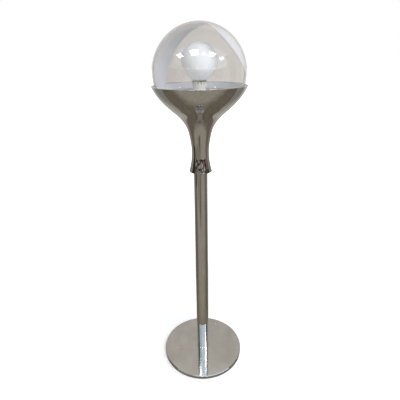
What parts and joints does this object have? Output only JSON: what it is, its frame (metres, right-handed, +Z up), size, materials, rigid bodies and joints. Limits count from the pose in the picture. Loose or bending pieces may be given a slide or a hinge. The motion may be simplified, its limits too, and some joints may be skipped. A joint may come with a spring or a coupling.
{
  "type": "globe floor lamp",
  "caption": "Free-standing lamp: a round disc and tube carry a flared trumpet cup, in which a clear globe with a windowed white inner shell stands over an opal round bulb.",
  "frame": {"origin": "centre of the underside of the rubber ring, on the floor", "axes": "+Z up along the stem's axis, -Y towards the viewer of the picture, +X to that viewer's right"},
  "size_m": [0.35, 0.35, 1.377],
  "materials": {
    "disc_chrome": "polished chrome plate, lightly scuffed",
    "stem_chrome": "polished chrome plate",
    "trumpet_chrome": "polished chrome plate on a spun shell",
    "white_enamel": "satin white enamel",
    "clear_glass": "clear, gloss",
    "white_opal": "opal white, gloss",
    "bulb_opal": "opal white glass",
    "bulb_metal": "bare aluminium",
    "black_glass": "black glass",
    "lamp_glass": "clear glass",
    "filament_wire": "fine dark wire",
    "porcelain": "white glazed porcelain",
    "ivory_plastic": "ivory moulded plastic",
    "brass": "dull brass",
    "steel": "turned steel",
    "bush_nylon": "black nylon",
    "block_plastic": "cream moulded plastic",
    "lead_sheath": "soft PVC sheath",
    "core_sheath": "PVC insulation",
    "black_rubber": "black rubber",
    "pale_rubber": "pale rubber"
  },
  "bodies": {
    "stand": {"floor_pad": "black_rubber", "base_plate": "disc_chrome", "cable_gland": "black_rubber", "terminal_block": "block_plastic", "block_screws": "steel", "base_screws": "steel", "foot_ring": "stem_chrome", "stem_tube": "stem_chrome", "lower_plug": "steel", "upper_plug": "steel", "throat_bush": "bush_nylon", "throat_plate": "steel", "trumpet_cup": "trumpet_chrome", "inner_dish": "white_enamel", "threaded_pipe": "brass", "pipe_nuts": "brass", "pipe_washers": "steel", "holder_bracket": "steel", "holder_foot": "porcelain", "holder_sleeve": "porcelain", "holder_ring": "ivory_plastic", "screw_shell": "brass", "centre_contact": "brass", "holder_screws": "steel", "terminal_screws": "brass", "supply_lead": "lead_sheath", "lead_cores": "core_sheath"},
    "seat": {"globe_seat": "pale_rubber"},
    "globe": {"clear_globe": "clear_glass", "white_shell": "white_opal"},
    "bulb_end": {"bulb_contact": "bulb_metal", "bulb_insulator": "black_glass"},
    "bulb": {"bulb_glass": "bulb_opal", "bulb_cap": "bulb_metal", "filament_mount": "lamp_glass", "filament": "filament_wire"}
  },
  "joints": [
    {"name": "globe_turn", "type": "hinge", "parent": "stand", "child": "seat", "pos_m": [0, 0, 1.1575], "axis": [0, 0, 1], "continuous": true},
    {"name": "globe_lift", "type": "slide", "parent": "seat", "child": "globe", "axis": [0, 0, 1], "range_m": [0, 0.2]},
    {"name": "bulb_rise", "type": "slide", "parent": "stand", "child": "bulb_end", "axis": [0, 0, 1], "range_m": [0, 0.01815]},
    {"name": "bulb_turn", "type": "hinge", "parent": "bulb_end", "child": "bulb", "pos_m": [0, 0, 1.155], "axis": [0, 0, 1], "range_deg": [0, 1800]}
  ],
  "couplings": [
    {"joint": "bulb_rise", "follows": "bulb_turn", "m_per_rad": 0.00057757}
  ]
}
